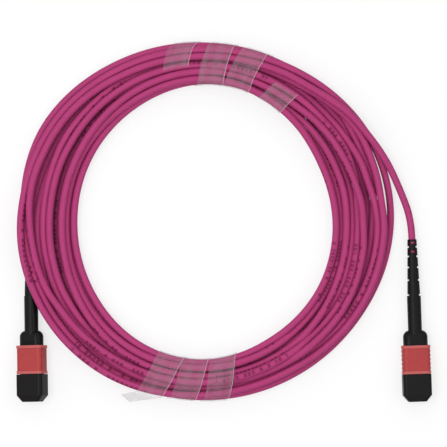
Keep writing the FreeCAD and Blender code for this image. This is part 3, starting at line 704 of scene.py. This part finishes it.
    def settle(self, radii: list[float], levels: list[float]) -> list[float]:
        """Lower the turns on to one another, station by station, and ease the steps between.

        Args:
            radii: Distances from the coil's middle.
            levels: Order in the pile.

        Returns:
            The height of each station; the last one leads into the left plug's boot.
        """
        last = len(radii) - 1
        heights = [self.floor] * len(radii)
        piles = []
        for station in range(self.a_turn):
            boot = self.boot_under(station * self.step_degrees)
            turns = sorted(range(station, len(radii), self.a_turn), key=lambda n: levels[n])
            piles.append((boot, turns))
            piled = list(boot)
            for turn in turns:
                if turn < last:
                    heights[turn] = self.perch(radii[turn], heights[turn], piled)
                    piled.append((radii[turn], heights[turn], self.diameter))
        for number in range(self.rounds):
            if number < self.rounds - self.snug_rounds:
                heights = self.eased(heights)
            for boot, turns in piles:
                self.part(radii, heights, turns)
                for turn in turns:
                    if turn < last:
                        heights[turn] = self.perch(radii[turn], heights[turn], boot)
        return heights

    @staticmethod
    def eased(values: list[float]) -> list[float]:
        """Smooth some values along the cord."""
        inner = [(a + 2 * b + c) / 4 for a, b, c in zip(values, values[1:], values[2:])]
        return [values[0], *inner, values[-1]]

    @staticmethod
    def apart(radii: list[float], one: int, other: int) -> float:
        """How near two turns pass each other round a station.

        Args:
            radii: Distances from the coil's middle.
            one, other: The turns' numbers at the station.

        Returns:
            The least distance between them sideways; nothing where they cross.
        """
        lower, upper = min(one, other), max(one, other)
        steps = [step for step in (-1, 0, 1) if lower + step >= 0 and upper + step < len(radii)]
        gaps = [radii[one + step] - radii[other + step] for step in steps]
        if min(gaps) < 0.0 < max(gaps):
            return 0.0
        halfway = [abs(first + second) / 2 for first, second in zip(gaps, gaps[1:])]
        return min(abs(radii[one] - radii[other]), *halfway)

    def part(self, radii: list[float], heights: list[float], piled: list[int]) -> None:
        """Push apart turns that lie in one another at a station, each by half.

        Args:
            radii: Distances from the coil's middle.
            heights: Heights, which are changed.
            piled: The numbers of the turns that pass the station, the lowest first.
        """
        for place, upper in enumerate(piled):
            for lower in piled[:place]:
                apart = self.apart(radii, upper, lower)
                if apart >= self.diameter:
                    continue
                need = math.sqrt(self.diameter ** 2 - apart ** 2)
                push = (need - (heights[upper] - heights[lower])) / 2
                if push > 0.0:
                    heights[upper] += push
                    heights[lower] = max(self.floor, heights[lower] - push)

    def coil_points(self) -> list[Vector]:
        """The coil's control points, from the right plug's lead to the left plug.

        Returns:
            The points; a spline of order three cuts inside them by the share that the spread makes up.
        """
        radii, levels = self.lay()
        heights = self.settle(radii, levels)
        step = math.radians(self.step_degrees)
        spread = 1.0 / (0.75 + 0.25 * math.cos(step))
        points = []
        for number in range(self.first_station, len(radii)):
            out = Vector((math.cos(number * step), math.sin(number * step), 0.0))
            up = Vector((0.0, 0.0, heights[number]))
            points.append(self.middle + out * radii[number] * spread + up)
        return points

    def route(self) -> list[Vector]:
        """All control points, from inside the left boot to inside the right boot.

        Returns:
            The points.
        """
        points = [self.left.at(self.left.tail + out) for out in self.left_end]
        points += reversed(self.coil_points())
        points += [Vector(point) for point in reversed(self.lead_route)]
        return points + [self.right.at(self.right.tail + out) for out in self.right_end]

    def build(self, finish: Material, far_pieces: list[str]) -> bpy.types.Object:
        """Lay the cord as one spline, keep its centre line and give it its thickness.

        Args:
            finish: The jacket's material.
            far_pieces: Names of the pieces on its far end; not used.

        Returns:
            The cord.
        """
        curve = bpy.data.curves.new("patch_cord", "CURVE")
        curve.dimensions = "3D"
        curve.twist_mode = "Z_UP"
        curve.resolution_u = self.steps_along
        spline = curve.splines.new("NURBS")
        points = self.route()
        spline.points.add(len(points) - 1)
        for knot, point in zip(spline.points, points):
            knot.co = (*point, 1.0)
        spline.order_u = 3
        spline.use_endpoint_u = True
        cord = bpy.data.objects.new("patch_cord", curve)
        bpy.context.scene.collection.objects.link(cord)
        bpy.context.view_layer.update()
        line = bpy.data.meshes.new_from_object(cord)
        self.centreline = [vertex.co.copy() for vertex in line.vertices]
        bpy.data.meshes.remove(line)
        curve.bevel_depth = self.diameter / 2
        curve.bevel_resolution = self.steps_round
        curve.use_fill_caps = True
        curve.materials.append(finish)
        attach(cord, "cable")
        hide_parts("cable_coil", "lead_a", "lead_b")
        self.left.at(self.left.tail)
        return cord

    def section(self, bearing: float) -> list[Pair]:
        """Where the turns cross a bearing.

        Args:
            bearing: The bearing in radians.

        Returns:
            Radius and height of each crossing.
        """
        out = Vector((math.cos(bearing), math.sin(bearing), 0.0))
        side = Vector((-out.y, out.x, 0.0))
        crossings = []
        offsets = [point - self.middle for point in self.centreline]
        for one, two in zip(offsets, offsets[1:]):
            before, after = one.dot(side), two.dot(side)
            if (before < 0.0) != (after < 0.0) and one.dot(out) > 0.0:
                point = one.lerp(two, before / (before - after))
                crossings.append((point.dot(out), point.z))
        return crossings


@dataclass
class FilmTie:
    """A strip of clear film wound round the bundle in a few turns.

    Attributes:
        bearings: Where along the bundle it is, in degrees, at each half turn from the outer rim.
        flap: How far the two corners of its loose end stand off.
        clearance, slack: Room between the film and the turns, up and down and sideways.
        well_out: Reach of a ray from the bundle's middle, in halves of its size.
    """

    name: str
    node: str
    bearings: tuple[float, ...]
    start: float
    end: float
    taut_first: bool
    flap: tuple[Triple, Triple] = ((0.0, 0.0, 0.0), (0.0, 0.0, 0.0))
    flap_rows: int = 0
    width: float = 10.8 * MM
    clearance: float = 0.12 * MM
    slack: float = 0.5 * MM
    thickness: float = 0.05 * MM
    columns: int = 10
    rows_a_turn: int = 48
    slices: int = 24
    well_out: float = 3.0
    outlines: dict[int, list[Vector]] = field(default_factory=dict)

    def bearing(self, turn: float) -> float:
        """Where along the bundle the strip is after some turns; bearings are told every half turn.

        Args:
            turn: Turns from the outer rim.

        Returns:
            The bearing in degrees.
        """
        place = turn * 2
        number = min(int(place), len(self.bearings) - 2)
        first, last = self.bearings[number], self.bearings[number + 1]
        return first + (last - first) * (place - number)

    def outline(self, cord: PatchCord, degrees: int) -> list[Vector]:
        """The taut outline round the bundle at a bearing, as radius and height.

        Args:
            cord: The cord.
            degrees: The bearing in whole degrees.

        Returns:
            The outline's corners in order.
        """
        if degrees not in self.outlines:
            reach = cord.diameter / 2 + self.clearance
            aside = cord.diameter / 2 + self.slack
            rim = []
            for radius, height in cord.section(math.radians(degrees)):
                for number in range(self.slices):
                    angle = number * math.tau / self.slices
                    corner = (radius + aside * math.cos(angle), height + reach * math.sin(angle))
                    rim.append(Vector(corner))
            self.outlines[degrees] = [rim[number] for number in geometry.convex_hull_2d(rim)]
        return self.outlines[degrees]

    def reach(self, corners: list[Vector], angle: float) -> Vector:
        """Where a ray from the bundle's middle leaves an outline.

        Args:
            corners: The outline.
            angle: The ray's direction; 0 points outwards and a quarter turn up.

        Returns:
            Radius and height.
        """
        low = Vector((min(c.x for c in corners), min(c.y for c in corners)))
        high = Vector((max(c.x for c in corners), max(c.y for c in corners)))
        middle = (low + high) / 2
        size = (high - low) / 2
        far = middle + Vector((math.cos(angle) * size.x, math.sin(angle) * size.y)) * self.well_out
        for one, two in zip(corners, corners[1:] + corners[:1]):
            hit = geometry.intersect_line_line_2d(middle, far, one, two)
            if hit is not None:
                return hit
        return middle

    def point(self, cord: PatchCord, turn: float, across: float) -> Vector:
        """A point of the strip.

        Args:
            cord: The cord it is wound on.
            turn: Turns from the outer rim.
            across: Place across the strip, from -0.5 to 0.5.

        Returns:
            The point in the scene.
        """
        wound = max(turn, self.start)
        degrees = self.bearing(wound)
        angle = wound * math.tau
        rough = self.reach(self.outline(cord, round(degrees)), angle)
        degrees += math.degrees(across * self.width / rough.x)
        whole = math.floor(degrees)
        first = self.reach(self.outline(cord, whole), angle)
        last = self.reach(self.outline(cord, whole + 1), angle)
        place = first.lerp(last, degrees - whole)
        bearing = math.radians(degrees)
        held = cord.middle + Vector((math.cos(bearing) * place.x, math.sin(bearing) * place.x, place.y))
        first_end, last_end = (Vector(corner) for corner in self.flap)
        loose = (wound - turn) * self.rows_a_turn / max(self.flap_rows, 1)
        return held + first_end.lerp(last_end, across + 0.5) * loose

    def wind(self, cord: PatchCord) -> tuple[bmesh.types.BMesh, float]:
        """Wind the strip row by row.

        Args:
            cord: The cord it is wound on.

        Returns:
            The strip's form and its length.
        """
        last = round((self.end - self.start) * self.rows_a_turn)
        turns = [self.start + row / self.rows_a_turn for row in range(-self.flap_rows, last + 1)]
        sheet = bmesh.new()
        across_layer = sheet.verts.layers.float.new("across")
        along_layer = sheet.verts.layers.float.new("along")
        shares = [number / self.columns for number in range(self.columns + 1)]
        row = [sheet.verts.new(self.point(cord, turns[0], share - 0.5)) for share in shares]
        edges = [sheet.edges.new(pair) for pair in zip(row, row[1:])]
        rows = [row]
        for turn in turns[1:]:
            made = bmesh.ops.extrude_edge_only(sheet, edges=edges)["geom"]
            fresh = [item for item in made if isinstance(item, bmesh.types.BMVert)]
            drawn = [item for item in made if isinstance(item, bmesh.types.BMEdge)]
            edges = [edge for edge in drawn if all(vertex in fresh for vertex in edge.verts)]
            row = []
            for vertex, share in zip(rows[-1], shares):
                others = (edge.other_vert(vertex) for edge in vertex.link_edges)
                twin = next(other for other in others if other in fresh)
                twin.co = self.point(cord, turn, share - 0.5)
                row.append(twin)
            rows.append(row)
        for turn, row in zip(turns, rows):
            for vertex, share in zip(row, shares):
                vertex[across_layer] = share
                vertex[along_layer] = turn
        bmesh.ops.recalc_face_normals(sheet, faces=sheet.faces)
        return sheet, sum((two[0].co - one[0].co).length for one, two in zip(rows, rows[1:]))

    def build(self, cord: PatchCord, finish: Material) -> bpy.types.Object:
        """Make the strip, with its thickness.

        Args:
            cord: The cord it is wound on.
            finish: The film's material.

        Returns:
            The strip.
        """
        sheet, length = self.wind(cord)
        strip = put_in_scene(self.name, sheet, finish)
        for polygon in strip.data.polygons:
            polygon.use_smooth = True
        thick = strip.modifiers.new("thickness", "SOLIDIFY")
        thick.thickness = self.thickness
        thick.offset = 1.0
        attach(strip, "cable")
        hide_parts(self.node)
        return strip


class PlugFinishes:
    """The finishes of a plug's pieces, made once and shared by both plugs, but for the sleeve's."""

    def __init__(self) -> None:
        """Make the materials and list them by the pieces that wear them."""
        satin, smooth = Grain(0.38, mottle=0.25, specular=0.11), Grain(0.36, specular=0.12)
        rubbery, glossy, polished = Grain(0.7), Grain(0.3), Grain(0.15, mottle=0.05)
        dull = (0.27, 0.45)
        housing = MouldedFinish("housing_plastic", screen_colour(10, 8, 9), smooth).build()
        self.steel = MetalFinish("spring_steel", screen_colour(200, 200, 204)).build()
        self.glass = MouldedFinish("fibre_glass", screen_colour(215, 222, 226), polished).build()
        # The pale rim colour is a painted highlight on the sleeve's rims.
        coral, painted_rim_highlight = screen_colour(167, 58, 60), screen_colour(196, 104, 102)
        self.sleeve = SleeveFinish("sleeve_plastic", coral, painted_rim_highlight)
        self.by_piece: dict[str, Material] = {
            "dust_cap": MouldedFinish("cap_plastic", screen_colour(10, 7, 9), satin).build(),
            "plug_housing": housing,
            "rear_body": housing,
            "strain_relief_boot": MouldedFinish("boot_rubber", screen_colour(8, 7, 7), satin).build(),
            "ferrule": MouldedFinish("ferrule_resin", screen_colour(58, 60, 64), Grain(0.35)).build(),
            "ferrule_boot": MouldedFinish("ferrule_rubber", screen_colour(70, 72, 76), rubbery).build(),
            "fibre_ribbon": MouldedFinish("fibre_coating", screen_colour(120, 190, 200), glossy).build(),
            "pin_keeper": MetalFinish("keeper_steel", screen_colour(188, 188, 192), dull).build(),
            "crimp_ring": MetalFinish("crimp_metal", screen_colour(205, 198, 180), dull).build(),
        }


@dataclass
class Spring:
    """A plug's coil spring, copied from its part as it is made."""

    name: str
    node: str
    joint: str
    axis: PlugAxis
    merge_within: float = 0.001 * MM

    def build(self, finish: Material) -> bpy.types.Object:
        """Copy the spring as it is made.

        Args:
            finish: The wire's material.

        Returns:
            The spring.
        """
        ending = "_" + self.axis.end.value
        wire = bmesh.new()
        wire.from_mesh(frame["nodes"][self.node + ending].data)
        bmesh.ops.remove_doubles(wire, verts=wire.verts, dist=self.merge_within)
        stations = [(vertex.co - self.axis.nose).dot(self.axis.cableward) for vertex in wire.verts]
        spring = put_in_scene(self.name + ending, wire, finish)
        seat = max(stations)
        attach(spring, "cable")
        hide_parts(self.node + ending)
        self.axis.at(seat)
        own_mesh(spring)
        return spring


@dataclass
class Plug:
    """One push-on plug: the dress of its pieces, its springs and the fibre ends in its ferrule's face."""

    axis: PlugAxis
    finishes: PlugFinishes
    fibres: int = 12
    fibre_sides: int = 12
    fibre_pitch: float = 0.25 * MM
    fibre_radius: float = 0.07 * MM
    fibre_proud: float = 0.02 * MM
    face_proud: float = 0.4 * MM
    pieces: list[str] = field(default_factory=list)

    def wear(self, piece: str, finish: Material) -> None:
        """Put a finish on one piece.

        Args:
            piece: The piece's name without its plug's letter.
            finish: The material.
        """
        node = frame["nodes"]["%s_%s" % (piece, self.axis.end.value)]
        for slot in node.material_slots:
            slot.material = finish
        self.pieces.append(node.name)
        LOG.info("%s wears %s", node.name, finish.name)

    def dress(self) -> None:
        """Give each piece its finish."""
        for piece, finish in self.finishes.by_piece.items():
            self.wear(piece, finish)
        self.wear("coupling_sleeve", self.finishes.sleeve.build(self.axis))

    def springs(self) -> None:
        """Make the springs that press the sleeve and the ferrule forward."""
        sleeve = Spring("sleeve_coils", "sleeve_springs", "sleeve_slide", self.axis)
        ferrule = Spring("ferrule_coil", "ferrule_spring", "ferrule_float", self.axis)
        for spring in (sleeve, ferrule):
            self.pieces.append(spring.build(self.finishes.steel).name)
            LOG.info("seated %s", self.pieces[-1])

    def fibre_ends(self) -> None:
        """Set the row of polished fibre ends in the ferrule's face, to move with the ferrule."""
        letter = self.axis.end.value
        places = {mount["name"]: Vector(mount["pos_m"]) for mount in frame["record"]["mounts"]}
        across = (places["guide_hole_two_" + letter] - places["guide_hole_one_" + letter]).normalized()
        turn = self.axis.cableward.to_track_quat("Z", "X").to_matrix().to_4x4()
        ends = bmesh.new()
        for number in range(self.fibres):
            aside = (number - (self.fibres - 1) / 2) * self.fibre_pitch
            place = Matrix.Translation(self.axis.at(-self.face_proud) + across * aside) @ turn
            bmesh.ops.create_cone(ends, cap_ends=True, segments=self.fibre_sides, radius1=self.fibre_radius,
                                  radius2=self.fibre_radius, depth=2 * self.fibre_proud, matrix=place)
        row = put_in_scene("fibre_ends_" + letter, ends, self.finishes.glass)
        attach(row, "float_" + letter)
        self.pieces.append(row.name)
        LOG.info("set %s", row.name)


@dataclass(frozen=True)
class Lamp:
    """A soft square lamp that faces the object, its size in metres and its energy in watts."""

    name: str
    place: Triple
    size: float
    energy: float

    def hang(self) -> None:
        """Hang the lamp in the scene."""
        light = bpy.data.lights.new(self.name, "AREA")
        light.size = self.size
        light.energy = self.energy
        lamp = bpy.data.objects.new(self.name, light)
        lamp.location = self.place
        lamp.rotation_mode = "QUATERNION"
        lamp.rotation_quaternion = (-Vector(self.place)).to_track_quat("-Z", "Y")
        bpy.context.scene.collection.objects.link(lamp)


@dataclass
class Studio:
    """A pale floor, soft light from above and the camera over the object."""

    picture_side: float = 189.9 * MM
    camera_height: float = 1.4
    aim: Vector = field(default_factory=lambda: Vector((-0.27 * MM, 0.15 * MM, 0.0)))
    floor_half: float = 2.0
    floor_grey: float = 0.94
    floor_glow: float = 0.7
    sky_light: float = 0.03
    lamps: tuple[Lamp, ...] = (
        Lamp("key", (-0.06, 0.08, 0.9), size=3.2, energy=36.5),
        Lamp("side", (-0.3, 0.02, 0.9), size=0.25, energy=1.6),
    )

    @staticmethod
    def seen_plainly(graph: NodeGraph) -> Socket:
        """Tell the rays that look at the background: from the camera, in a gloss or through a film.

        Args:
            graph: The node tree that asks.

        Returns:
            1 for such a ray and 0 for light on its way to the object.
        """
        path = graph.add("LightPath", {})
        seen = graph.math("MAXIMUM", path["Is Camera Ray"], path["Is Glossy Ray"])
        return graph.math("MAXIMUM", seen, path["Is Transmission Ray"])

    def floor(self) -> None:
        """Lay the floor: white to the camera, with the object's soft shadow."""
        material = bpy.data.materials.new("floor_white")
        graph = NodeGraph(material)
        graph.tree.nodes.clear()
        plain = graph.add("BsdfDiffuse", {"Color": (*[self.floor_grey] * 3, 1.0)})
        white = graph.add("Emission", {"Strength": 1.0})
        share = graph.math("MULTIPLY", self.seen_plainly(graph), self.floor_glow)
        mixed = graph.add("MixShader", {0: share, 1: plain[0], 2: white[0]})
        graph.add("OutputMaterial", {"Surface": mixed[0]})
        ground = bmesh.new()
        bmesh.ops.create_grid(ground, x_segments=1, y_segments=1, size=self.floor_half)
        floor = put_in_scene("floor", ground, material)

    def sky(self) -> None:
        """Set the world: pale light on the object, white behind it."""
        world = bpy.data.worlds.new("studio")
        bpy.context.scene.world = world
        graph = NodeGraph(world)
        graph.tree.nodes.clear()
        light = graph.add("Background", {"Strength": self.sky_light})
        white = graph.add("Background", {})
        mixed = graph.add("MixShader", {0: self.seen_plainly(graph), 1: light[0], 2: white[0]})
        graph.add("OutputWorld", {"Surface": mixed[0]})

    def camera(self) -> None:
        """Look straight down on the object, its far side up in the picture."""
        data = bpy.data.cameras.new("camera")
        data.angle = 2 * math.atan(self.picture_side / 2 / self.camera_height)
        camera = bpy.data.objects.new("camera", data)
        camera.location = self.aim + Vector((0.0, 0.0, self.camera_height))
        bpy.context.scene.collection.objects.link(camera)
        bpy.context.scene.camera = camera

    def build(self) -> None:
        """Set up the stage."""
        bpy.context.scene.view_settings.view_transform = "Standard"
        self.floor()
        self.sky()
        for lamp in self.lamps:
            lamp.hang()
        self.camera()


def main() -> None:
    """Build the stage, the plugs, the cord and its ties."""
    Studio().build()
    left, right = PlugAxis(End.LEFT), PlugAxis(End.RIGHT)
    finishes = PlugFinishes()
    near_plug, far_plug = Plug(left, finishes), Plug(right, finishes)
    for plug in (near_plug, far_plug):
        plug.dress()
        plug.springs()
        plug.fibre_ends()
    cord = PatchCord(left, right)
    magenta, ink = screen_colour(173, 62, 116), screen_colour(84, 14, 46)
    jacket = JacketFinish("cable_jacket", magenta, ink, cord.length).build()
    LOG.info("laid %s", cord.build(jacket, far_plug.pieces).name)
    veil, edge = screen_colour(186, 180, 186), screen_colour(232, 220, 228)
    top = FilmTie("top_film", "film_tie_top", start=0.25, end=3.27, taut_first=True,
                  bearings=(54.5, 64.5, 73.8, 79.0, 84.8, 89.8, 97.0, 105.0))
    bottom = FilmTie("bottom_film", "film_tie_bottom", start=0.05, end=2.8, taut_first=False,
                     bearings=(250.8, 255.3, 261.8, 265.8, 272.8, 277.5, 284.0),
                     flap=((-0.0067, -0.0014, -0.0015), (-0.0135, -0.0021, -0.0025)), flap_rows=4)
    for tie in (top, bottom):
        film = FilmFinish(tie.node, veil, edge, tie.taut_first).build()
        LOG.info("wound %s", tie.build(cord, film).name)


if __name__ == "__main__":
    main()
